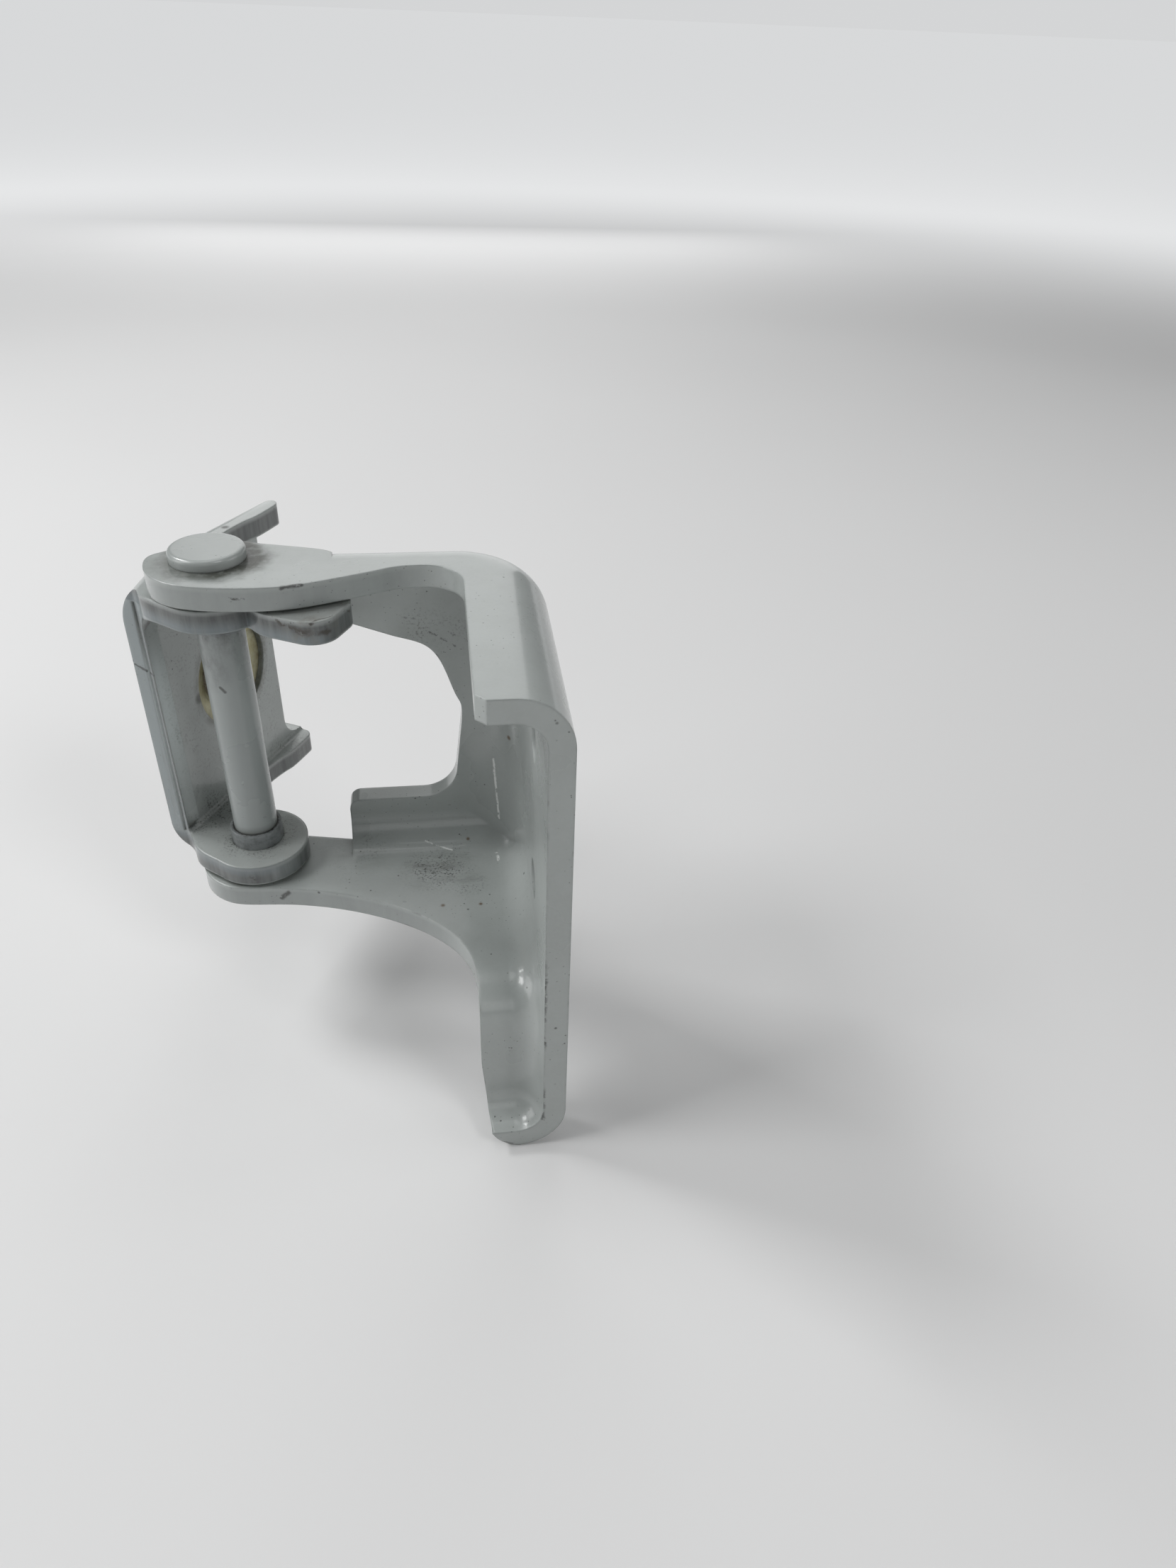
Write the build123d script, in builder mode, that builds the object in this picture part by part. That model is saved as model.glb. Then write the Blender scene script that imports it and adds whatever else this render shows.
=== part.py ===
from build123d import *
from math import cos, radians, sin
import os

os.makedirs("parts", exist_ok=True)

# A car door hinge: two steel stampings that turn on one headed pin. Millimetres.
# +Z runs up the pin, +X leaves the face that is bolted to the car body, and the origin
# lies on that face, midway between its two bolt holes. The door leaf stands half open.

# Sheet and pin
sheet = 5.0
pin_r = 5.0
head_r = 7.75
head_height = 2.4
head_round = 0.9
peen_r = 6.6
peen_height = 2.2
peen_chamfer = 1.2

# Bearing bushes, one in each ear
bush_wall = 0.9
bush_flange_r = 9.0
bush_flange = 0.85
bush_stand = 4.0
bush_split = 0.4
bush_split_angle = 100
running_gap = 0.05
thrust_gap = 0.15
press_gap = 0.02

# Where the pin stands, seen from the body mounting face; its bosses lie a little off it
pin_to_wall = 68.8
pin_setback = 33.2
boss_side = 0.3
boss_near = 1.2
ear_span = 71.0

# Body leaf
arm_top = 44.5
leaf_near = -27.0
plate_back = 42.0
tail_back = -15.0
tail_bottom = -75.0
side_bend = 11.4
corner_bend = 13.0
top_bend = 10.7
back_bend = 19.0
tail_bend = 11.7
step_bend = 5.0
boss_r = 12.6
boss_rear = 9.6
lower_boss_left = 1.2
lower_boss_rear = 0.9
arm_rear_angle = 36.7
arm_rear_slope = 0.276
arm_heel = 2.4
upper_front_angle = 250
lower_front_angle = 245
arm_waist = 5.0
plate_start = 24.5
tab_start = 21.7
tab_rear = 5.2
tab_depth = 65.9
tab_corner = 2.8
arch_drop = 17.1
arch_slope = 4.0
arch_side = 18.9
arch_heel = 8.5
top_wall_width = 17.4
top_wall_corner = 2.0
waist_fillet = 8.2
tail_width = 18.2
tail_corner = 8.0
tail_taper = 1.7
tail_taper_drop = 16.0
bolt_hole_r = 4.5
bolt_spacing = 36.0

# Door leaf, measured along its web (u) and square to it (w) from the pin
web_turn = 63.0
web_inside = 16.7
web_near = -4.0
web_far = 39.2
lower_fold = 6.2
fold_near = 15.2
fold_mid = 3.6
fold_far = 8.0
fold_mid_inner = 0.6
fold_near_at = -12.0
fold_mid_at = 10.0
fold_far_at = 55.0
nose_r = 11.5
lug_far = 45.8
upper_lug_edge = 13.2
lower_lug_edge = 12.8
lug_round = 2.4
upper_neck = 2.2
lower_neck = 6.0
neck_rise = 0.6
neck_drop = 0.8
hook_near = -6.7
hook_far = 7.5
hook_end = -29.4
hook_near_round = 5.5
hook_far_round = 4.0
bevel_width = 4.0
bevel_depth = 1.8

# Stud and the ring that seats it in the web
ring_hole_r = 13.0
stud_along = 21.8
stud_height = 3.5
ring_thickness = 3.6
ring_dish = 1.2
ring_seat_r = 8.6
stud_head_r = 8.0
stud_head_height = 2.4
stud_head_chamfer = 0.6
stud_r = 5.0
stud_reach = 15.0
stud_chamfer = 1.0
stud_groove = 1.0
stud_groove_depth = 0.6
stud_seat_r = 5.6

# Heights that follow from the stack on the pin: arm, flange, ear, then ear, flange, arm
arm_bottom = arm_top - sheet
ear_top = arm_bottom - thrust_gap - bush_flange
ear_bottom = ear_top - ear_span
lower_arm_top = ear_bottom - bush_flange - thrust_gap
lower_arm_bottom = lower_arm_top - sheet
tab_top = arm_top - tab_depth
web_outside = web_inside + sheet
bush_r = pin_r + running_gap + bush_wall
boss_to_wall = pin_to_wall - boss_side
boss_setback = pin_setback - boss_near
near_end = leaf_near - boss_setback
rear_end = plate_back - boss_setback
past = 20.0

# Working planes: about the pin, about the middle of its bosses, and along the door leaf
along_web = Vector(cos(radians(web_turn)), sin(radians(web_turn)), 0)
off_web = Vector(-sin(radians(web_turn)), cos(radians(web_turn)), 0)
pin_foot = Vector(-pin_to_wall, pin_setback, 0)
boss_foot = Vector(-boss_to_wall, boss_setback, 0)
pin_place = Plane(origin=pin_foot)
pin_section = Plane(origin=pin_foot, x_dir=(1, 0, 0), z_dir=(0, -1, 0))
plan_place = Plane(origin=boss_foot)
front_place = Plane(origin=boss_foot, x_dir=(1, 0, 0), z_dir=(0, -1, 0))
leaf_place = Plane(origin=boss_foot, x_dir=along_web, z_dir=(0, 0, 1))
channel_place = Plane(origin=boss_foot, x_dir=off_web, z_dir=along_web)
elevation_place = Plane(origin=boss_foot, x_dir=along_web, z_dir=-off_web)


def on_circle(radius, angle, middle=(0, 0)):
    """Point on a circle about a boss."""
    return (
        middle[0] + radius * cos(radians(angle)),
        middle[1] + radius * sin(radians(angle)),
    )


def heading(angle):
    """Direction of travel round a boss, counter-clockwise, at an angle."""
    return (-sin(radians(angle)), cos(radians(angle)))


# Body leaf


def corner_block(inset):
    """The top, the back and the wall as one rounded corner, open below and in front."""
    with BuildPart() as block:
        with BuildSketch(Plane.XY.offset(arm_top - inset)):
            with Locations((-inset, plate_back - inset)):
                Rectangle(10 * past, 10 * past, align=(Align.MAX, Align.MAX))
        extrude(amount=-10 * past)
        upright = block.edges().filter_by(Axis.Z).sort_by(Axis.X)[-2:].sort_by(Axis.Y)[-1]
        fillet(upright, radius=back_bend - inset)
        top = block.faces().sort_by(Axis.Z)[-1]
        crest = top.edges().filter_by(
            lambda edge: edge.center().X > -9 * past and edge.center().Y > -9 * past
        )
        fillet(crest, radius=top_bend - inset)
    return block.part


def tray_block(inset):
    """The drawn tray as a full block: its outside at inset 0, its hollow at inset = sheet."""
    open_side = past if inset else 0
    near = leaf_near - open_side
    left = tab_start - boss_to_wall - open_side
    rear = plate_back - inset
    top = arm_top + past
    step = lower_arm_bottom + inset
    tail = tail_back - inset
    bottom = tail_bottom + inset
    bends = (
        tail_bend - inset,
        step_bend + inset,
        corner_bend - inset,
    )
    with BuildPart() as block:
        with BuildSketch(Plane.YZ.offset(left)):
            with BuildLine():
                FilletPolyline(
                    (near, bottom),
                    (tail, bottom),
                    (tail, step),
                    (rear, step),
                    (rear, top),
                    radius=bends,
                )
                Polyline((rear, top), (near, top), (near, bottom))
            make_face()
        extrude(amount=-inset - left)
        side = block.faces().sort_by(Axis.X)[-1]
        rim = side.edges().filter_by(
            lambda edge: edge.center().Y - near > 0.01 and top - edge.center().Z > 0.01
        )
        fillet(rim, radius=side_bend - inset)
        add(corner_block(inset), mode=Mode.INTERSECT)
    return block.part


# Plan of the upper arm and the top wall, open past the wall and the back plate
wall_edge = boss_to_wall - top_wall_width
upper_waist = (wall_edge - waist_fillet, -arm_waist)
boss_left = 190
upper_rear = on_circle(boss_r, arm_rear_angle)
upper_front = on_circle(boss_r, upper_front_angle)
boss_back = (
    upper_rear,
    (5.6, boss_rear - 0.4),
    (1.2, boss_rear),
    (-4.6, boss_rear - 1.7),
    (-9.2, boss_rear - 4.8),
)
back_ends = ((-1, arm_rear_slope), heading(boss_left))
beyond = boss_to_wall + past

with BuildSketch() as upper_plan:
    with BuildLine():
        Spline(*boss_back, on_circle(boss_r, boss_left), tangents=back_ends)
        CenterArc((0, 0), boss_r, boss_left, upper_front_angle - boss_left)
        Spline(
            upper_front,
            (6.0, -boss_r - 1.2),
            (17.0, -boss_r - 0.7),
            (25.5, -boss_r + 2.1),
            (34.5, -boss_r + 5.8),
            upper_waist,
            tangents=(heading(upper_front_angle), (1, 0)),
        )
        round_in = TangentArc(
            upper_waist, (wall_edge, -arm_waist - waist_fillet), tangent=(1, 0)
        )
        Polyline(
            round_in @ 1,
            (wall_edge, near_end + top_wall_corner),
            (wall_edge + top_wall_corner, near_end),
            (beyond, near_end),
            (beyond, rear_end + past),
            (plate_start, rear_end + past),
            (plate_start, arm_heel),
        )
        Spline(
            (plate_start, arm_heel),
            (plate_start - 4.6, upper_rear[1] - arm_rear_slope * (plate_start - 4.6 - upper_rear[0])),
            upper_rear,
            tangents=((-1, 1.2), (-1, arm_rear_slope)),
        )
    make_face()

# Plan of the lower arm, the step and the tail, open the same way
tail_edge = boss_to_wall - tail_width
lower_boss = (-lower_boss_left, lower_boss_rear)

with BuildSketch() as lower_plan:
    with BuildLine():
        Spline(*boss_back, on_circle(boss_r, boss_left, lower_boss), tangents=back_ends)
        CenterArc(lower_boss, boss_r, boss_left, lower_front_angle - boss_left)
        flank = Spline(
            on_circle(boss_r, lower_front_angle, lower_boss),
            (3.8, -boss_r + 0.5),
            (12.4, -boss_r - 0.8),
            (22.0, -boss_r - 3.6),
            (33.2, -boss_r - 8.8),
            (tail_edge - 8.9, -boss_r - 14.7),
            (tail_edge - 2.9, -boss_r - 22.0),
            (tail_edge, near_end + 11.0),
            tangents=(heading(lower_front_angle), (0, -1)),
        )
        Polyline(
            flank @ 1,
            (tail_edge, near_end - past),
            (beyond, near_end - past),
            (beyond, rear_end + past),
            (tab_start, rear_end + past),
            (tab_start, tab_rear),
            upper_rear,
        )
    make_face()

# Front view of the opening between the arms: sloped top, round side, flat tab below
arch_top = arm_top - arch_drop
arch_right = boss_to_wall - arch_side

with BuildSketch() as arch_view:
    with BuildLine():
        slope = Line((plate_start, arch_top), (plate_start + 10.5, arch_top - arch_slope))
        crown = Spline(
            slope @ 1,
            (arch_right - 7.1, arch_top - 6.9),
            (arch_right - 3.1, arch_top - 13.3),
            (arch_right - 0.8, arch_top - 20.2),
            (arch_right, arch_top - 29.2),
            tangents=(slope % 1, (-0.12, -1)),
        )
        FilletPolyline(
            crown @ 1,
            (arch_right - 2.3, tab_top),
            (tab_start, tab_top),
            (tab_start, tab_top - 2 * tab_corner),
            radius=(arch_heel, tab_corner),
        )
        Polyline(
            (tab_start, tab_top - 2 * tab_corner),
            (tab_start - past, tab_top - 2 * tab_corner),
            (tab_start - past, arch_top),
            (plate_start, arch_top),
        )
    make_face()

with BuildPart() as body_leaf:
    add(tray_block(0))
    add(tray_block(sheet), mode=Mode.SUBTRACT)
    # The cut edges over the top wall, then those over the step and the tail
    with BuildSketch(plan_place.offset(tab_top)):
        Rectangle(10 * past, 10 * past)
        add(upper_plan.sketch, mode=Mode.SUBTRACT)
    extrude(amount=arm_top + past - tab_top, mode=Mode.SUBTRACT)
    with BuildSketch(plan_place.offset(tab_top)):
        Rectangle(10 * past, 10 * past)
        add(lower_plan.sketch, mode=Mode.SUBTRACT)
    extrude(amount=tail_bottom - past - tab_top, mode=Mode.SUBTRACT)
    # Left of the back plate the drawn sheet ends and the flat arms carry on to the pin
    with BuildSketch(plan_place.offset(tab_top)):
        with Locations((plate_start, 0)):
            Rectangle(5 * past, 10 * past, align=(Align.MAX, Align.CENTER))
    extrude(amount=arm_top + past - tab_top, mode=Mode.SUBTRACT)
    with BuildSketch(plan_place.offset(arm_bottom)):
        add(upper_plan.sketch)
        with Locations((plate_start, 0)):
            Rectangle(5 * past, 10 * past, align=(Align.MAX, Align.CENTER), mode=Mode.INTERSECT)
    extrude(amount=sheet)
    with BuildSketch(plan_place.offset(lower_arm_bottom)):
        add(lower_plan.sketch)
        with Locations((tab_start, 0)):
            Rectangle(5 * past, 10 * past, align=(Align.MAX, Align.CENTER), mode=Mode.INTERSECT)
    extrude(amount=sheet)
    with BuildSketch(front_place.offset(-rear_end - 1)):
        add(arch_view.sketch)
    extrude(amount=rear_end + 1 + boss_r, mode=Mode.SUBTRACT)
    # The tail narrows downwards on the side away from the wall and ends in a round corner
    with BuildSketch(front_place.offset(-rear_end)):
        with BuildLine():
            FilletPolyline(
                (tail_edge, lower_arm_bottom - tail_taper_drop),
                (tail_edge + tail_taper, tail_bottom),
                (tail_edge + tail_taper + 2 * tail_corner, tail_bottom),
                radius=tail_corner,
            )
            Polyline(
                (tail_edge + tail_taper + 2 * tail_corner, tail_bottom),
                (tail_edge + tail_taper + 2 * tail_corner, tail_bottom - past),
                (tail_edge - past, tail_bottom - past),
                (tail_edge - past, lower_arm_bottom - tail_taper_drop),
                (tail_edge, lower_arm_bottom - tail_taper_drop),
            )
        make_face()
    extrude(amount=rear_end - near_end + past, mode=Mode.SUBTRACT)
    # Holes: two for bolts in the wall, two for the pin in the arms
    with BuildSketch(Plane.YZ):
        with GridLocations(0, bolt_spacing, 1, 2):
            Circle(bolt_hole_r)
    extrude(amount=-sheet - 1, mode=Mode.SUBTRACT)
    with BuildSketch(pin_place.offset(lower_arm_bottom - 1)):
        Circle(pin_r + press_gap)
    extrude(amount=arm_top - lower_arm_bottom + 2, mode=Mode.SUBTRACT)


# Door leaf


def ear_plan(lug_edge, hook):
    """Plan of one ear with its flange and far lug, and the stop hook where it has one."""
    near_angle = 165
    far_angle = 370
    fold_start = web_inside + 1.0
    outside = web_outside + past
    with BuildLine() as outline:
        Line((web_near, outside), (web_near, fold_start))
        Spline(
            (web_near, fold_start),
            (web_near - 4.2, web_inside - 4.5),
            (web_near - 5.6, web_inside - 7.3),
            on_circle(nose_r, near_angle),
            tangents=((-0.25, -1), heading(near_angle)),
        )
        if hook:
            hook_start = 246
            hook_leave = 315
            CenterArc((0, 0), nose_r, near_angle, hook_start - near_angle)
            Spline(
                on_circle(nose_r, hook_start),
                (hook_near + 0.7, -nose_r - 2.2),
                (hook_near, -nose_r - 6.0),
                tangents=((-0.2, -1), (0, -1)),
            )
            FilletPolyline(
                (hook_near, -nose_r - 6.0),
                (hook_near, hook_end),
                (hook_far, hook_end),
                (hook_far, -nose_r - 1.5),
                radius=(hook_near_round, hook_far_round),
            )
            TangentArc((hook_far, -nose_r - 1.5), on_circle(nose_r, hook_leave), tangent=(0, 1))
            CenterArc((0, 0), nose_r, hook_leave, far_angle - hook_leave)
        else:
            CenterArc((0, 0), nose_r, near_angle, far_angle - near_angle)
        flange = Spline(
            on_circle(nose_r, far_angle),
            (nose_r + 1.6, web_inside - 9.0),
            (nose_r + 6.5, web_inside - 3.8),
            (nose_r + 14.5, web_inside - 2.2),
            (web_far - 6.5, lug_edge + 0.8),
            (lug_far - lug_round, lug_edge),
            tangents=(heading(far_angle), (1, 0)),
        )
        tip = TangentArc(flange @ 1, (lug_far, lug_edge + lug_round), tangent=(1, 0))
        Polyline(tip @ 1, (lug_far, outside), (web_near, outside))
    return make_face(outline.edges(), mode=Mode.PRIVATE)


upper_ear = ear_plan(upper_lug_edge, True)
lower_ear = ear_plan(lower_lug_edge, False)

def fold_wedge(corner, radius):
    """Section between the upper fold's sharp corner and its round, running past the corner."""
    side, top = corner
    with BuildLine() as outline:
        CenterArc((side - radius, top - radius), radius, 0, 90)
        Polyline(
            (side - radius, top),
            (side - radius, top + 1),
            (side + 1, top + 1),
            (side + 1, top - radius),
            (side, top - radius),
        )
    return make_face(outline.edges(), mode=Mode.PRIVATE)


def fold_run(corner, near, middle, far):
    """The wedge along the whole fold: two straight runs that meet by the pin."""
    stations = ((fold_near_at, near), (fold_mid_at, middle), (fold_far_at, far))
    with BuildPart() as run:
        for start, end in zip(stations, stations[1:]):
            for along, radius in (start, end):
                with BuildSketch(channel_place.offset(along)):
                    add(fold_wedge(corner, radius))
            loft()
    return run.part


with BuildPart() as door_leaf:
    # The channel: a web between two folded ears, open towards the pin
    with BuildSketch(channel_place.offset(fold_near_at)):
        with BuildLine():
            FilletPolyline(
                (-2 * past, ear_bottom),
                (web_outside, ear_bottom),
                (web_outside, ear_top),
                radius=lower_fold,
            )
            Polyline((web_outside, ear_top), (-2 * past, ear_top), (-2 * past, ear_top - sheet))
            Polyline((-2 * past, ear_top - sheet), (web_inside, ear_top - sheet))
            FilletPolyline(
                (web_inside, ear_top - sheet),
                (web_inside, ear_bottom + sheet),
                (-2 * past, ear_bottom + sheet),
                radius=lower_fold - sheet,
            )
            Line((-2 * past, ear_bottom + sheet), (-2 * past, ear_bottom))
        make_face()
    extrude(amount=fold_far_at - fold_near_at)
    # Its upper fold is round at the near end, tight by the pin and looser towards the far lug
    inner_corner = (web_inside, ear_top - sheet)
    outer_corner = (web_outside, ear_top)
    add(fold_run(inner_corner, fold_near - sheet, fold_mid_inner, fold_far - sheet))
    add(fold_run(outer_corner, fold_near, fold_mid, fold_far), mode=Mode.SUBTRACT)
    # Its cut edges: the upper ear with the hook, and the lower ear
    with BuildSketch(leaf_place):
        Rectangle(12 * past, 12 * past)
        add(upper_ear, mode=Mode.SUBTRACT)
    extrude(amount=ear_top + past, mode=Mode.SUBTRACT)
    with BuildSketch(leaf_place):
        Rectangle(12 * past, 12 * past)
        add(lower_ear, mode=Mode.SUBTRACT)
    extrude(amount=ear_bottom - past, mode=Mode.SUBTRACT)
    # The far edge of the web, cut back between the two lugs
    with BuildSketch(elevation_place.offset(-web_outside - 1)):
        with BuildLine():
            FilletPolyline(
                (web_far + past, ear_top - sheet - neck_rise),
                (web_far, ear_top - sheet - neck_rise),
                (web_far, ear_bottom + sheet + neck_drop),
                (web_far + past, ear_bottom + sheet + neck_drop),
                radius=(upper_neck, lower_neck),
            )
            Line(
                (web_far + past, ear_top - sheet - neck_rise),
                (web_far + past, ear_bottom + sheet + neck_drop),
            )
        make_face()
    extrude(amount=web_outside + 1, mode=Mode.SUBTRACT)
    # The slanted strip inside the near edge
    with BuildSketch(leaf_place.offset(ear_bottom + sheet)):
        Polygon(
            (web_near, web_inside),
            (web_near + bevel_width, web_inside),
            (web_near, web_inside + bevel_depth),
            align=None,
        )
    extrude(amount=ear_span - 2 * sheet, mode=Mode.SUBTRACT)
    # The large round hole in the web and the two bush seats
    with BuildSketch(elevation_place.offset(-web_outside - 1)):
        with Locations((stud_along, stud_height)):
            Circle(ring_hole_r)
    extrude(amount=sheet + 2, mode=Mode.SUBTRACT)
    with BuildSketch(pin_place.offset(ear_bottom - 1)):
        Circle(bush_r + press_gap)
    extrude(amount=ear_span + 2, mode=Mode.SUBTRACT)


# Pin

with BuildPart() as hinge_pin:
    with BuildSketch(pin_section):
        with BuildLine():
            FilletPolyline(
                (0, arm_top + head_height),
                (head_r, arm_top + head_height),
                (head_r, arm_top),
                radius=head_round,
            )
            Polyline(
                (head_r, arm_top),
                (pin_r, arm_top),
                (pin_r, lower_arm_bottom),
                (peen_r, lower_arm_bottom),
                (peen_r, lower_arm_bottom - peen_height + peen_chamfer),
                (peen_r - peen_chamfer, lower_arm_bottom - peen_height),
                (0, lower_arm_bottom - peen_height),
                (0, arm_top + head_height),
            )
        make_face()
    revolve(axis=Axis(pin_foot, (0, 0, 1)))


# Bushes


def flanged_bush(seat, up):
    """Split bush: its flange on the ear's outer face at seat, its sleeve through the ear."""
    rim = seat - up * bush_flange
    end = seat + up * (sheet + bush_stand)
    bore = pin_r + running_gap
    with BuildPart() as bush:
        with BuildSketch(pin_section):
            Polygon(
                (bore, rim),
                (bush_flange_r, rim),
                (bush_flange_r, seat),
                (bush_r, seat),
                (bush_r, end),
                (bore, end),
                align=None,
            )
        revolve(axis=Axis(pin_foot, (0, 0, 1)))
        split_place = Plane(
            origin=pin_foot + Vector(0, 0, min(rim, end) - 1),
            x_dir=Vector(*on_circle(1, bush_split_angle), 0),
            z_dir=(0, 0, 1),
        )
        with BuildSketch(split_place):
            Rectangle(2 * bush_flange_r, bush_split, align=(Align.MIN, Align.CENTER))
        extrude(amount=abs(end - rim) + 2, mode=Mode.SUBTRACT)
    return bush.part


upper_bush = flanged_bush(ear_top, -1)
lower_bush = flanged_bush(ear_bottom, 1)


# Stud and its ring, turned about the hole's axis and built outward from the web's inner face

stud_foot = boss_foot + along_web * stud_along + Vector(0, 0, stud_height)
stud_place = Plane(origin=stud_foot, x_dir=(0, 0, 1), z_dir=-along_web)
stud_axis = Axis(stud_foot, off_web)
ring_face = web_outside - ring_thickness
head_seat = ring_face + ring_dish

with BuildPart() as stud_ring:
    with BuildSketch(stud_place):
        Polygon(
            (stud_seat_r + press_gap, head_seat),
            (ring_seat_r, head_seat),
            (ring_hole_r - press_gap, ring_face),
            (ring_hole_r - press_gap, web_outside),
            (stud_seat_r + press_gap, web_outside),
            align=None,
        )
    revolve(axis=stud_axis)

with BuildPart() as door_stud:
    with BuildSketch(stud_place):
        Polygon(
            (0, head_seat - stud_head_height),
            (stud_head_r - stud_head_chamfer, head_seat - stud_head_height),
            (stud_head_r, head_seat - stud_head_height + stud_head_chamfer),
            (stud_head_r, head_seat),
            (stud_seat_r, head_seat),
            (stud_seat_r, web_outside),
            (stud_r - stud_groove_depth, web_outside),
            (stud_r - stud_groove_depth, web_outside + stud_groove),
            (stud_r, web_outside + stud_groove),
            (stud_r, web_outside + stud_reach - stud_chamfer),
            (stud_r - stud_chamfer, web_outside + stud_reach),
            (0, web_outside + stud_reach),
            align=None,
        )
    revolve(axis=stud_axis)


pieces = {
    "body_leaf": body_leaf.part,
    "door_leaf": door_leaf.part,
    "hinge_pin": hinge_pin.part,
    "upper_bush": upper_bush,
    "lower_bush": lower_bush,
    "stud_ring": stud_ring.part,
    "door_stud": door_stud.part,
}
for name, piece in pieces.items():
    piece.label = name
    export_step(piece, f"parts/{name}.step")
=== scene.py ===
import math

import bpy
from mathutils import Matrix, Vector


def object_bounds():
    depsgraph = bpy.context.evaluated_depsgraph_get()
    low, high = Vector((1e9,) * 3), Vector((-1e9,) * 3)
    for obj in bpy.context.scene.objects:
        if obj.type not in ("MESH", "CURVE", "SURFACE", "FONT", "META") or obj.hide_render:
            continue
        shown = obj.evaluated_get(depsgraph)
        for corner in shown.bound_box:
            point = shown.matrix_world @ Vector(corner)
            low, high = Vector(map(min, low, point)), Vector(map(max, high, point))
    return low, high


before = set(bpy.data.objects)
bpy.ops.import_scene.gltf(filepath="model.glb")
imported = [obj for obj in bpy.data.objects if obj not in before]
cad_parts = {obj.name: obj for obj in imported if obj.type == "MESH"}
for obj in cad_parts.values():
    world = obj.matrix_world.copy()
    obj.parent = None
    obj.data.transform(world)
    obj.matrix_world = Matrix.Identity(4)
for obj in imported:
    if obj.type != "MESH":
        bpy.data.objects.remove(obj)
cad_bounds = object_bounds()


def mm(*values):
    """Millimetres given, metres back."""
    return tuple(v / 1000.0 for v in values)


# Places on the part in metres: the pin's axis, the middle of the bosses, and the stud's axis.
# WEB is the bearing of the door leaf's web, IN_WEB and OFF_WEB the ways along it and out of it.
PIN = mm(-68.8, 33.2, 0)
BOSS = mm(-68.5, 32.0, 0)
WEB = math.radians(63.0)
IN_WEB = (math.cos(WEB), math.sin(WEB), 0.0)
OFF_WEB = (-math.sin(WEB), math.cos(WEB), 0.0)
TO_NEAR = (-math.cos(WEB), -math.sin(WEB), 0.0)
FLAT_FACING = (0.63, -0.777, 0.0)  # of the flat between the web's face and its near edge
STUD_REACH = 0.0218
STUD = (BOSS[0] + STUD_REACH * IN_WEB[0], BOSS[1] + STUD_REACH * IN_WEB[1], 0.0035)
ARM_TOP = 0.0445
EAR_FLOOR = -0.0275
WEB_FACE = 0.0167  # of the web's inner face from the line through the bosses
RING_R = 0.0132  # radius of the seam round the stud's ring
THREAD_PITCH = 0.0015

# Colours and tones of the finishes

# The first colour serves for dirt, and for painted shade in the pin's crevices
DIRT_AND_SHADE = (0.068, 0.071, 0.057, 1.0)
BARE = (0.055, 0.056, 0.052, 1.0)
RUST = (0.13, 0.085, 0.045, 1.0)
# The near white below is for painted highlights
GLINT_WHITE = (0.86, 0.88, 0.86, 1.0)

PAINT_TONE = 0.42
PIN_TONE = 0.41
FINE = (1500.0, 4.0, 0.6)  # scale, detail and roughness of the paint's finest grain


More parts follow.
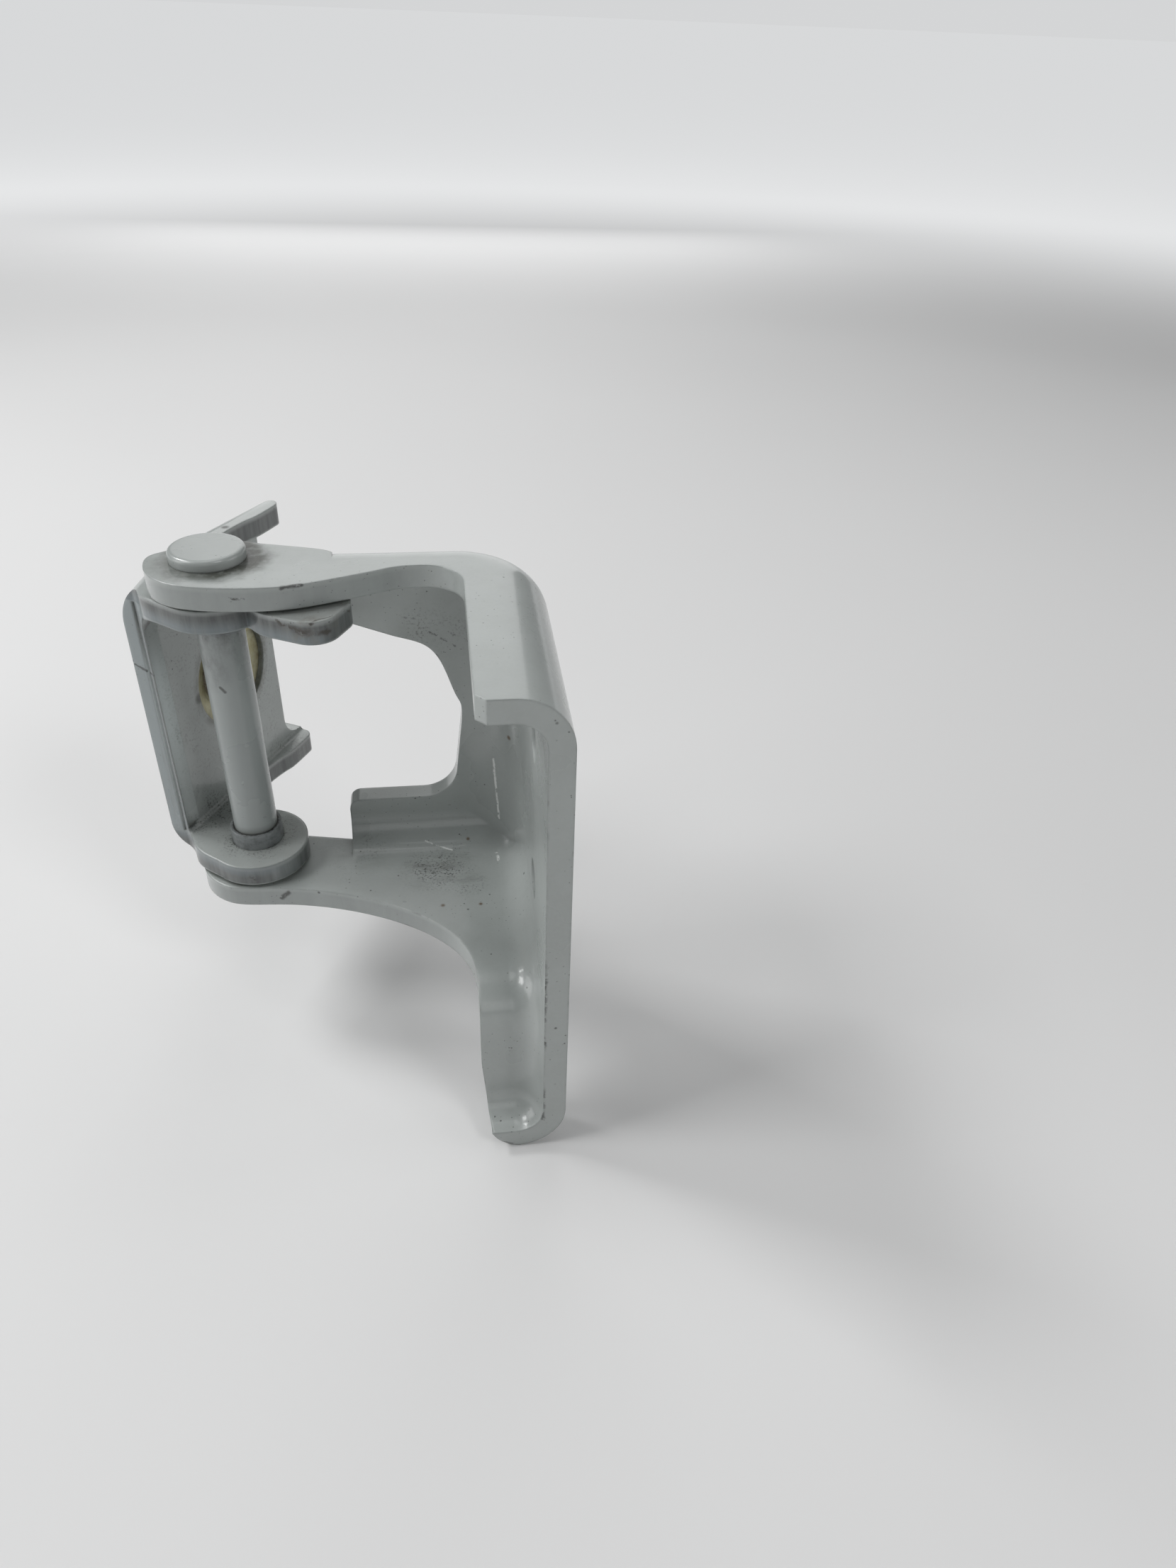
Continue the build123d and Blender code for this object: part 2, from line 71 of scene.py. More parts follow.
class Nodes:
    """A material's node tree with short calls for the nodes used below."""

    def __init__(self, name, tone=1.0):
        self.tone = tone
        self.mat = bpy.data.materials.new(name)
        self.mat.use_nodes = True
        self.tree = self.mat.node_tree
        self.tree.nodes.clear()
        self.out = self.tree.nodes.new("ShaderNodeOutputMaterial")
        self.bsdf = self.tree.nodes.new("ShaderNodeBsdfPrincipled")
        self.link(self.bsdf.outputs["BSDF"], self.out.inputs["Surface"])
        coordinates = self.tree.nodes.new("ShaderNodeTexCoord")
        self.place = coordinates.outputs["Object"]
        self.facing = coordinates.outputs["Normal"]

    def link(self, a, b):
        self.tree.links.new(a, b)

    def set(self, socket, value):
        if isinstance(value, bpy.types.NodeSocket):
            self.link(value, socket)
        else:
            socket.default_value = value

    def math(self, kind, a, b=0.5):
        n = self.tree.nodes.new("ShaderNodeMath")
        n.operation = kind
        self.set(n.inputs[0], a)
        self.set(n.inputs[1], b)
        return n.outputs[0]

    def vmath(self, kind, a, b=(0, 0, 0), out=0):
        n = self.tree.nodes.new("ShaderNodeVectorMath")
        n.operation = kind
        self.set(n.inputs[0], a)
        self.set(n.inputs[1], b)
        return n.outputs[out]

    def dot(self, a, b):
        return self.vmath("DOT_PRODUCT", a, b, out="Value")

    def length(self, a):
        return self.vmath("LENGTH", a, out="Value")

    def off(self, point):
        """The way from a point to the place that is shaded."""
        return self.vmath("SUBTRACT", self.place, point)

    def close_to(self, value, level, tight, loose):
        """1 where a value is within `tight` of a level, 0 where it is past `loose`."""
        gap = self.math("ABSOLUTE", self.math("SUBTRACT", value, level))
        return self.ramp(gap, tight, loose, 1.0, 0.0)

    def scaled(self, vector, factor):
        n = self.tree.nodes.new("ShaderNodeVectorMath")
        n.operation = "SCALE"
        self.set(n.inputs[0], vector)
        self.set(n.inputs["Scale"], factor)
        return n.outputs[0]

    def moved(self, shift=(0, 0, 0), scale=(1, 1, 1), turn=(0, 0, 0)):
        """The place shifted, stretched or turned, for another part of a texture."""
        n = self.tree.nodes.new("ShaderNodeMapping")
        self.link(self.place, n.inputs["Vector"])
        n.inputs["Location"].default_value = shift
        n.inputs["Rotation"].default_value = turn
        n.inputs["Scale"].default_value = scale
        return n.outputs[0]

    def noise(self, scale, detail=4.0, rough=0.55, at=None, warp=0.0, colour=False):
        n = self.tree.nodes.new("ShaderNodeTexNoise")
        self.link(self.place if at is None else at, n.inputs["Vector"])
        n.inputs["Scale"].default_value = scale
        n.inputs["Detail"].default_value = detail
        n.inputs["Roughness"].default_value = rough
        n.inputs["Distortion"].default_value = warp
        return n.outputs["Color" if colour else "Fac"]

    def cells(self, scale, at=None):
        """Distance to the nearest of many scattered points, in cells."""
        n = self.tree.nodes.new("ShaderNodeTexVoronoi")
        self.link(self.place if at is None else at, n.inputs["Vector"])
        n.inputs["Scale"].default_value = scale
        return n.outputs["Distance"]

    def ramp(self, value, low, high, to_low=0.0, to_high=1.0, smooth=False):
        n = self.tree.nodes.new("ShaderNodeMapRange")
        n.interpolation_type = "SMOOTHSTEP" if smooth else "LINEAR"
        self.link(value, n.inputs["Value"])
        limits = {"From Min": low, "From Max": high, "To Min": to_low, "To Max": to_high}
        for key, v in limits.items():
            n.inputs[key].default_value = v
        return n.outputs[0]

    def blend(self, fac, a, b):
        """Colour a where the factor is 0, colour b where it is 1."""
        n = self.tree.nodes.new("ShaderNodeMix")
        n.data_type = "RGBA"
        self.set(n.inputs[0], fac)
        self.set(n.inputs[6], a)
        self.set(n.inputs[7], b)
        return n.outputs[2]

    def times(self, *factors):
        product = factors[0]
        for factor in factors[1:]:
            product = self.math("MULTIPLY", product, factor)
        return product

    def plus(self, a, b):
        return self.math("ADD", a, b)

    def most(self, *values):
        top = values[0]
        for value in values[1:]:
            top = self.math("MAXIMUM", top, value)
        return top

    def edges(self, radius, low=0.002, high=0.06):
        """1 on corners and edges of the metal, 0 on the flats."""
        n = self.tree.nodes.new("ShaderNodeBevel")
        n.samples = 6
        n.inputs["Radius"].default_value = radius
        g = self.tree.nodes.new("ShaderNodeNewGeometry")
        d = self.dot(n.outputs[0], g.outputs["Normal"])
        return self.ramp(self.math("SUBTRACT", 1.0, d), low, high)

    def corners(self, reach):
        """1 in crevices and under overlaps, 0 in the open."""
        n = self.tree.nodes.new("ShaderNodeAmbientOcclusion")
        n.samples = 8
        n.inputs["Distance"].default_value = reach
        return self.math("SUBTRACT", 1.0, n.outputs["AO"])

    def axes(self, vector=None):
        n = self.tree.nodes.new("ShaderNodeSeparateXYZ")
        self.link(self.place if vector is None else vector, n.inputs[0])
        return n.outputs

    def from_line(self, point, along=(0, 0, 1)):
        """Distance in metres from a straight line."""
        return self.length(self.vmath("CROSS_PRODUCT", self.off(point), along))

    def near(self, point, radius, soft):
        """1 inside a ball about a point, falling to 0 past its skin."""
        return self.ramp(self.length(self.off(point)), radius, radius + soft, 1.0, 0.0, smooth=True)

    def stroke(self, start, end, width, waver=0.0004, gaps=0.45):
        """A thin broken line on the surface from one point to another."""
        wave = self.vmath("SUBTRACT", self.noise(420.0, 3.0, 0.6, colour=True), (0.5, 0.5, 0.5))
        place = self.vmath("ADD", self.place, self.scaled(wave, 2 * waver))
        run = Vector(end) - Vector(start)
        v = self.vmath("SUBTRACT", place, start)
        along = self.dot(v, tuple(run / run.length_squared))
        along = self.math("MAXIMUM", self.math("MINIMUM", along, 1.0), 0.0)
        foot = self.scaled(tuple(run), along)
        r = self.length(self.vmath("SUBTRACT", v, foot))
        line = self.ramp(r, 0.3 * width, 0.8 * width, 1.0, 0.0)
        return self.times(line, self.ramp(self.noise(560.0, 3.0, 0.6), gaps, gaps + 0.08))

    def faces_up(self, low, high):
        g = self.tree.nodes.new("ShaderNodeNewGeometry")
        return self.ramp(self.axes(g.outputs["Normal"])[2], low, high)

    def bumps(self, layers, rounding):
        """Chain of bumps, (height, strength, distance) each, over a rounded-edge normal."""
        b = self.tree.nodes.new("ShaderNodeBevel")
        b.samples = 8
        b.inputs["Radius"].default_value = rounding
        last = b.outputs[0]
        for height, strength, distance in layers:
            n = self.tree.nodes.new("ShaderNodeBump")
            n.inputs["Strength"].default_value = strength
            n.inputs["Distance"].default_value = distance
            self.link(height, n.inputs["Height"])
            self.link(last, n.inputs["Normal"])
            last = n.outputs[0]
        self.link(last, self.bsdf.inputs["Normal"])


def grey(v, warm=0.0):
    """The paint's green-blue grey at a given lightness."""
    return (v * (0.935 + warm), v * 1.0, v * (0.975 - warm), 1.0)


def painted(name, zones):
    """Baked grey paint over pressed sheet, with its specks, smudges and rubbed edges, and painted
    shade in crevices.

    Each zone takes the nodes and the colour so far, and gives the new colour and where it is sunk.
    """
    tone = PAINT_TONE
    m = Nodes(name, tone)
    broad = m.noise(38.0, 3.0, 0.5)
    mid = m.noise(210.0, 5.0, 0.6)
    fine = m.noise(*FINE)
    colour = m.blend(m.ramp(broad, 0.35, 0.66), grey(tone * 0.94), grey(tone * 1.03))
    colour = m.blend(m.ramp(mid, 0.42, 0.75, 0.0, 0.35), colour, grey(tone * 0.85, 0.012))
    colour = m.blend(m.ramp(fine, 0.4, 0.7, 0.0, 0.18), colour, grey(tone * 1.14))
    # Fine dark pits, sparse, of uneven size
    pits = m.ramp(m.cells(430.0), 0.05, 0.12, 1.0, 0.0)
    pits = m.times(pits, m.ramp(m.noise(95.0, 2.0), 0.53, 0.62))
    # Pinholes, finer and more even
    holes = m.ramp(m.cells(760.0, at=m.moved((0.17, 0.05, 0.23))), 0.06, 0.13, 1.0, 0.0)
    holes = m.times(holes, m.ramp(m.noise(70.0, 3.0), 0.42, 0.56), 0.8)
    pits = m.most(pits, holes)
    # Larger chips, few
    chips = m.ramp(m.cells(140.0, at=m.moved((0.31, 0.12, 0.05))), 0.03, 0.06, 1.0, 0.0)
    chips = m.times(chips, m.ramp(m.noise(41.0, 2.0), 0.52, 0.60))
    # Rubbed and chipped sheared edges
    edge = m.edges(0.0008)
    rubbed = m.times(edge, m.ramp(m.noise(330.0, 5.0, 0.7), 0.48, 0.66))
    worn = m.times(edge, m.ramp(m.noise(150.0, 4.0, 0.6, at=m.moved((0.2, 0.4, 0.1))), 0.61, 0.72))
    # Painted shade in crevices and under overlaps, from occlusion, made patchy
    occlusion_shade = m.corners(0.006)
    patchy = m.ramp(m.noise(160.0, 5.0, 0.65), 0.35, 0.62, 0.25, 1.0)
    crevice_shade = m.times(m.ramp(occlusion_shade, 0.25, 0.75), patchy)
    # Dry smudges
    smudge = m.times(
        m.ramp(m.noise(24.0, 4.0, 0.62, at=m.moved((0.1, 0.7, 0.3))), 0.56, 0.72),
        m.ramp(fine, 0.35, 0.65, 0.3, 1.0),
    )
    colour = m.blend(m.times(smudge, 0.30), colour, grey(tone * 0.62, 0.02))
    # Painted shade: crevices darkened towards a brownish grey
    colour = m.blend(m.times(crevice_shade, 0.5), colour, (tone * 0.31, tone * 0.33, tone * 0.27, 1.0))
    colour = m.blend(m.times(pits, 0.8), colour, BARE)
    colour = m.blend(m.times(chips, 0.85), colour, BARE)
    colour = m.blend(m.times(rubbed, 0.40), colour, grey(tone * 1.35))
    colour = m.blend(m.times(worn, 0.6), colour, (0.10, 0.10, 0.095, 1.0))
    dull = m.most(crevice_shade, smudge)
    sunk = m.most(pits, chips, worn)
    for zone in zones:
        colour, mark = zone(m, colour)
        sunk = m.most(sunk, mark)
    m.link(colour, m.bsdf.inputs["Base Color"])
    rough = m.plus(m.ramp(broad, 0.3, 0.7, 0.25, 0.34), m.times(dull, 0.35))
    rough = m.plus(rough, m.times(sunk, 0.25))
    m.set(m.bsdf.inputs["Roughness"], rough)
    m.bsdf.inputs["Coat Weight"].default_value = 0.5
    m.bsdf.inputs["Coat Roughness"].default_value = 0.12
    m.bumps(
        [
            (m.noise(60.0, 3.0, 0.5), 0.35, 0.0006),
            (m.noise(620.0, 3.0, 0.5), 0.22, 0.00012),
            (m.math("SUBTRACT", 1.0, sunk), 0.6, 0.0001),
        ],
        rounding=0.0009,
    )
    return m.mat


def specks(m, low=0.53, high=0.60):
    """Fine dark grains, denser in some places than in others."""
    grain = m.ramp(m.noise(1700.0, 4.0, 0.65), low, high)
    coarse = m.times(m.ramp(m.noise(800.0, 5.0, 0.7), 0.60, 0.66), 0.8)
    return m.times(m.most(grain, coarse), m.ramp(m.noise(170.0, 4.0, 0.65), 0.42, 0.60, 0.10, 1.0))


def edge_side_shade(bands, share_of, dark):
    """Painted shade on the sheared side faces between the heights in each band: darker, streaked up
    and down, and duller.
    """

    def zone(m, colour):
        x, _, z = m.axes()
        g = m.tree.nodes.new("ShaderNodeNewGeometry")
        level = m.math("ABSOLUTE", m.axes(g.outputs["Normal"])[2])
        inside = [
            m.times(
                m.ramp(z, low, low + 0.0004),
                m.ramp(z, high, high - 0.0012),
                m.ramp(x, left_of, left_of - 0.006),
            )
            for low, high, left_of in bands
        ]
        drag = m.noise(1.0, 4.0, 0.6, at=m.moved(scale=(520.0, 520.0, 60.0)))
        share = m.times(
            m.most(*inside),
            m.ramp(level, 0.30, 0.55, 1.0, 0.0),
            m.ramp(drag, 0.35, 0.65, 0.78, 1.0),
        )
        # Painted shade: the side faces made darker than the tops
        shade = m.tone * dark
        colour = m.blend(m.times(share, share_of), colour, (shade * 0.92, shade, shade, 1.0))
        return colour, m.times(share, 0.1)

    return zone


# Painted shade on the side faces of the arms' and the ears' edges: the heights of each band, and
# how far to the right it reaches
ARM_EDGE_SHADE = edge_side_shade((mm(39.5, 44.5, -24.0), mm(-38.5, -33.5, -20.0)), 0.40, 0.47)
EAR_EDGE_SHADE = edge_side_shade((mm(33.5, 38.5, 0.0), mm(-32.5, -27.5, 0.0)), 0.97, 0.17)


def pin_ring(m, colour):
    """Grey-brown dirt on the arm round the pin's head, wider on its right."""
    x, _, z = m.axes()
    shifted = m.from_line((PIN[0] + 0.0008, PIN[1] - 0.0004, 0.0))
    r = m.plus(shifted, m.ramp(m.noise(130.0, 4.0, 0.6), 0.3, 0.7, -0.0014, 0.0014))
    near = m.times(m.ramp(r, 0.0088, 0.0134, 1.0, 0.0, smooth=True), m.faces_up(0.2, 0.8))
    near = m.times(near, m.ramp(z, ARM_TOP - 0.0015, ARM_TOP - 0.0003))
    near = m.times(near, m.ramp(m.noise(420.0, 4.0, 0.6), 0.3, 0.56, 0.65, 1.0))
    near = m.times(near, m.ramp(x, PIN[0] - 0.010, PIN[0] + 0.004, 0.55, 1.0))
    colour = m.blend(near, colour, (m.tone * 0.095, m.tone * 0.105, m.tone * 0.080, 1.0))
    return colour, m.times(near, 0.6)


def step_marks(m, colour):
    """Grains and smudges in the middle of the step, and small rusty specks in front of them."""
    area = m.most(
        m.near(mm(-26.5, 23.5, -33.5), 0.003, 0.008),
        m.times(m.near(mm(-19.5, 18.5, -33.5), 0.001, 0.006), 0.8),
        m.times(m.near(mm(-20.5, 28.5, -33.5), 0.001, 0.005), 0.6),
        m.times(m.near(mm(-45.0, 30.0, -33.5), 0.002, 0.010), 0.45),
    )
    grains = m.times(area, specks(m))
    streaks = m.noise(1.0, 5.0, 0.65, at=m.moved(scale=(90.0, 260.0, 260.0), turn=(0, 0, 0.5)))
    colour = m.blend(m.times(area, m.ramp(streaks, 0.45, 0.68), 0.42), colour, DIRT_AND_SHADE)
    colour = m.blend(m.times(grains, 0.9), colour, BARE)
    rust = m.most(
        m.near(mm(-25.2, 10.3, -33.5), 0.0001, 0.0007),
        m.near(mm(-16.4, 10.0, -33.5), 0.0001, 0.0006),
        m.near(mm(-18.4, 33.2, -32.3), 0.0001, 0.0006),
        m.near(mm(-8.0, 31.6, -1.6), 0.0002, 0.0007),
    )
    colour = m.blend(m.times(rust, 0.9), colour, RUST)
    return colour, m.times(grains, 0.4)


def tray_glints(m, colour):
    """Painted highlights: bright broken lines down the inner corner of the tray and across the
    step.
    """
    mark = m.most(
        m.stroke(mm(-11.6, 34.9, -9.5), mm(-10.5, 34.1, -27.0), 0.0005, gaps=0.40),
        m.stroke(mm(-28.9, 33.2, -32.2), mm(-22.5, 30.4, -33.4), 0.0004, gaps=0.42),
        m.stroke(mm(-11.6, 28.6, -33.4), mm(-11.3, 25.6, -33.4), 0.0006, gaps=0.45),
    )
    # Painted highlights in near white
    colour = m.blend(m.times(mark, 0.9), colour, GLINT_WHITE)
    return colour, mark


def body_cracks(m, colour):
    """Cracks on the back plate, scuffs on the arms' cut edges, the wall's broken paint edge."""
    mark = m.most(
        m.times(m.stroke(mm(-32.5, 37, 28.6), mm(-27.5, 37, 27.2), 0.0004, 0.0012), 0.5),
        m.times(m.stroke(mm(-25.0, 37, 23.8), mm(-18.0, 36.9, 19.4), 0.0004, 0.0012), 0.7),
        m.times(m.stroke(mm(-21.5, 37, 24.6), mm(-16.5, 36.9, 21.4), 0.0003, 0.0012), 0.7),
        m.stroke(mm(-49.0, 19.4, 44.3), mm(-52.8, 18.5, 44.2), 0.0007, gaps=0.42),
        m.stroke(mm(-63.2, 18.1, 42.3), mm(-60.2, 18.3, 42.2), 0.0005),
        m.stroke(mm(-63.0, 19.7, -36.4), mm(-61.2, 19.6, -34.6), 0.0010, gaps=0.40),
        m.times(
            m.stroke(mm(-5.2, -27.0, 30.0), mm(-5.2, -27.0, -66.0), 0.0010, 0.0007, gaps=0.44),
            m.ramp(m.noise(45.0, 3.0, 0.6), 0.47, 0.56),
        ),
    )
    colour = m.blend(m.times(mark, 0.85), colour, BARE)
    under = m.times(m.near(mm(-24.0, 37.0, 23.5), 0.002, 0.009), specks(m, 0.54, 0.62))
    colour = m.blend(m.times(under, 0.6), colour, DIRT_AND_SHADE)
    return colour, mark


def tail_chips(m, colour):
    """Chipped lower edge of the tail."""
    foot = m.ramp(m.axes()[2], -0.0715, -0.0735)
    flaked = m.ramp(m.noise(230.0, 5.0, 0.7), 0.54, 0.60)
    low = m.times(foot, flaked, m.edges(0.0014, 0.01, 0.10))
    colour = m.blend(m.times(low, 0.85), colour, BARE)
    return colour, low


def hook_scab(m, colour):
    """Dark ragged lines and brown smears along the hook's front edge."""
    mark = m.most(
        m.stroke(mm(-53.9, 17.0, 37.6), mm(-49.4, 14.8, 36.6), 0.0010, waver=0.0012, gaps=0.42),
        m.stroke(mm(-49.6, 14.8, 36.6), mm(-44.6, 15.8, 35.9), 0.0013, waver=0.0012, gaps=0.40),
        m.stroke(mm(-47.8, 14.6, 38.2), mm(-43.6, 17.2, 38.2), 0.0006, waver=0.0006, gaps=0.44),
        m.stroke(mm(-41.6, 20.2, 37.8), mm(-40.9, 22.0, 37.0), 0.0007, waver=0.0006, gaps=0.44),
    )
    dark_patch = m.times(
        m.most(
            m.near(mm(-48.5, 14.8, 36.9), 0.001, 0.006),
            m.times(m.near(mm(-42, 19, 37), 0.001, 0.004), 0.5),
        ),
        m.ramp(m.noise(260.0, 5.0, 0.65), 0.44, 0.62),
    )
    colour = m.blend(m.times(dark_patch, 0.5), colour, (0.17, 0.145, 0.115, 1.0))
    colour = m.blend(m.times(mark, 0.9), colour, (0.05, 0.042, 0.034, 1.0))
    return colour, mark


def leaf_dirt_and_shade(m, colour):
    """Painted shade on the web's inner face and the lower ear's top; grains round the lower bush,
    dirt in the lower fold and on the lower lug, web specks.
    """
    z = m.axes()[2]
    low = m.close_to(z, EAR_FLOOR, 0.0006, 0.0016)
    collar = m.times(low, m.ramp(m.from_line(PIN), 0.0060, 0.0120, 1.0, 0.0, smooth=True))
    fold = m.most(
        m.near(mm(-82.5, 39.0, -27.0), 0.001, 0.006),
        m.near(mm(-79.0, 44.5, -27.4), 0.002, 0.007),
        m.times(m.near(mm(-64.5, 70.5, -27.5), 0.003, 0.007), 0.8),
    )
    web = m.times(
        m.ramp(z, -0.029, -0.020),
        m.ramp(z, 0.034, 0.028),
        m.close_to(m.dot(m.off(BOSS), OFF_WEB), WEB_FACE, 0.0004, 0.0012),
    )
    # Painted shade: the web's inner face and the lower ear's top darkened all over
    colour = m.blend(m.times(web, 0.30), colour, grey(m.tone * 0.55, -0.005))
    colour = m.blend(m.times(low, 0.25), colour, grey(m.tone * 0.55, 0.02))
    spread = m.most(collar, fold, m.times(web, 0.38))
    colour = m.blend(m.times(spread, specks(m), 0.8), colour, DIRT_AND_SHADE)
    rim_spot = m.near(mm(-68.9, 20.5, -30.7), 0.0002, 0.0017)
    mark = m.most(
        m.near(mm(-70.4, 63.5, 38.5), 0.0003, 0.0010),
        m.times(rim_spot, m.ramp(m.noise(*FINE), 0.4, 0.6)),
        m.near(mm(-79.6, 47.1, 3.2), 0.0006, 0.0014),
        m.stroke(mm(-89.4, 38.2, 17.7), mm(-85.5, 36.0, 16.0), 0.0005, 0.0007, gaps=0.35),
    )
    colour = m.blend(m.times(mark, 0.8), colour, BARE)
    return colour, mark


def near_strip(m, colour):
    """Painted shade on the near cut edge, bluer and rubbed up and down; a painted highlight on the
    flat beside it.
    """
    z = m.axes()[2]
    along = m.dot(m.off(BOSS), IN_WEB)
    near_edge_shade = m.times(
        m.ramp(along, -0.0015, -0.0035),
        m.ramp(z, -0.0305, -0.0285),
        m.ramp(z, 0.0365, 0.0345),
        m.ramp(m.dot(m.facing, TO_NEAR), 0.35, 0.7),
    )
    flat_highlight = m.times(
        m.ramp(m.dot(m.facing, FLAT_FACING), 0.93, 0.98),
        m.ramp(along, 0.0040, 0.0025),
        m.ramp(z, -0.020, 0.002, 0.25, 1.0),
        m.ramp(z, 0.024, 0.017),
    )
    # Painted highlight on the flat beside the near edge, faint low down
    colour = m.blend(m.times(flat_highlight, 0.75), colour, grey(m.tone * 1.60, -0.02))
    # Painted shade on the near cut edge, in a bluer grey
    blue_shade = (m.tone * 0.52, m.tone * 0.62, m.tone * 0.66, 1.0)
    colour = m.blend(m.times(near_edge_shade, 0.60), colour, blue_shade)
    drawn = m.noise(1.0, 4.0, 0.6, at=m.moved(scale=(700.0, 700.0, 45.0)))
    rubbed = m.times(near_edge_shade, m.ramp(drawn, 0.50, 0.66))
    colour = m.blend(m.times(rubbed, 0.45), colour, grey(m.tone * 0.60))
    return colour, m.times(rubbed, 0.3)


def ring_seam(m, colour):
    """Painted shade: a dark, patchy line round the hole in the web."""
    ring = m.close_to(m.from_line(STUD, OFF_WEB), RING_R, 0.0004, 0.0020)
    ring = m.times(ring, m.ramp(m.noise(260.0, 4.0, 0.6), 0.35, 0.60, 0.2, 1.0))
    crevice_shade = (m.tone * 0.25, m.tone * 0.26, m.tone * 0.20, 1.0)
    # Painted shade round the hole's edge
    colour = m.blend(m.times(ring, 0.7), colour, crevice_shade)
    return colour, m.times(ring, 0.2)


def pin_material():
    """The pin took the same paint, smoother and glossier, with painted shade on its shank and a
    painted shadow under the upper ear.
    """
    m = Nodes("pin_paint", PIN_TONE)
    z = m.axes()[2]
    broad = m.noise(60.0, 4.0, 0.55)
    drawn = m.noise(1.0, 4.0, 0.6, at=m.moved(scale=(260.0, 260.0, 40.0)))
    colour = m.blend(m.ramp(broad, 0.35, 0.66), grey(m.tone * 0.93), grey(m.tone * 1.03))
    colour = m.blend(m.ramp(drawn, 0.45, 0.7, 0.0, 0.22), colour, grey(m.tone * 0.86))
    # The shank is painted darker than the head's top: painted shade
    shank = m.times(m.ramp(z, 0.0300, 0.0292), m.ramp(z, -0.0235, -0.0225))
    colour = m.blend(m.times(shank, 0.6), colour, grey(m.tone * 0.72, -0.02))
    # Painted shadow just under the upper bush, ragged on its lower side, and a patch of painted
    # shade on the pin's left
    ragged = m.ramp(m.noise(190.0, 4.0, 0.65), 0.3, 0.7, -0.0030, 0.0030)
    collar = m.ramp(m.plus(z, ragged), 0.0215, 0.0285)
    left_shade = m.near(mm(-72.0, 29.3, 21.0), 0.001, 0.006)
    patchy = m.noise(330.0, 5.0, 0.7, at=m.moved(scale=(1.0, 1.0, 0.5)))
    dark_patch = m.times(
        m.most(m.times(collar, 0.9), m.times(left_shade, 0.7)),
        shank,
        m.ramp(patchy, 0.40, 0.62, 0.2, 1.0),
    )
    foot = m.times(m.ramp(z, -0.0215, -0.0235), 0.8)
    pits = m.ramp(m.cells(520.0), 0.05, 0.12, 1.0, 0.0)
    pits = m.times(pits, m.ramp(m.noise(120.0, 2.0), 0.56, 0.63))
    nick = m.stroke(mm(-70.0, 28.3, 16.6), mm(-69.1, 28.2, 15.7), 0.0006, gaps=0.30)
    sunk = m.most(pits, nick)
    rubbed = m.times(m.edges(0.0008), m.ramp(m.noise(300.0, 5.0, 0.7), 0.45, 0.62))
    # Painted shade in crevices, from occlusion, in the dirt colour
    occlusion_shade = m.ramp(m.corners(0.003), 0.25, 0.8)
    # Painted shadow and shade in a dark grey
    colour = m.blend(m.times(dark_patch, 0.80), colour, (0.105, 0.108, 0.105, 1.0))
    colour = m.blend(m.times(foot, 0.6), colour, DIRT_AND_SHADE)
    colour = m.blend(m.times(sunk, 0.8), colour, BARE)
    colour = m.blend(m.times(occlusion_shade, 0.5), colour, DIRT_AND_SHADE)
    colour = m.blend(m.times(rubbed, 0.35), colour, grey(m.tone * 1.3))
    m.link(colour, m.bsdf.inputs["Base Color"])
    rough = m.plus(m.ramp(broad, 0.3, 0.7, 0.24, 0.33), m.times(dark_patch, 0.3))
    m.set(m.bsdf.inputs["Roughness"], rough)
    m.bsdf.inputs["Coat Weight"].default_value = 0.3
    m.bsdf.inputs["Coat Roughness"].default_value = 0.15
    m.bumps(
        [
            (m.noise(90.0, 3.0), 0.25, 0.0004),
            (m.noise(700.0, 3.0), 0.2, 0.0001),
            (m.math("SUBTRACT", 1.0, sunk), 0.5, 0.0001),
        ],
        rounding=0.0006,
    )
    return m.mat


def bush_material():
    """Blue-grey bush under a film of overspray, with grease along the pin and at its ends."""
    m = Nodes("bush_film")
    broad = m.noise(120.0, 4.0, 0.6)
    fine = m.noise(*FINE)
    rings = m.noise(1.0, 3.0, 0.6, at=m.moved(scale=(60.0, 60.0, 2600.0)))
    dark_film, pale_film = (0.235, 0.255, 0.26, 1.0), (0.29, 0.31, 0.315, 1.0)
    colour = m.blend(m.ramp(rings, 0.35, 0.65), dark_film, pale_film)
    colour = m.blend(m.ramp(broad, 0.42, 0.68, 0.0, 0.5), colour, (0.16, 0.165, 0.16, 1.0))
    r = m.from_line(PIN)
    grease = m.ramp(m.plus(r, m.ramp(fine, 0.3, 0.7, -0.0002, 0.0002)), 0.0053, 0.0056, 1.0, 0.0)
    patches = m.ramp(m.noise(260.0, 5.0, 0.65), 0.50, 0.68, 0.0, 0.6)
    grease = m.most(grease, patches)
    colour = m.blend(m.times(grease, 0.85), colour, (0.035, 0.033, 0.030, 1.0))
    m.link(colour, m.bsdf.inputs["Base Color"])
    m.bsdf.inputs["Metallic"].default_value = 0.15
    rough = m.plus(m.ramp(broad, 0.3, 0.7, 0.34, 0.46), m.times(grease, 0.10))
    m.set(m.bsdf.inputs["Roughness"], rough)
    m.bumps([(rings, 0.15, 0.00005), (m.noise(500.0, 3.0), 0.3, 0.0001)], rounding=0.0003)
    return m.mat


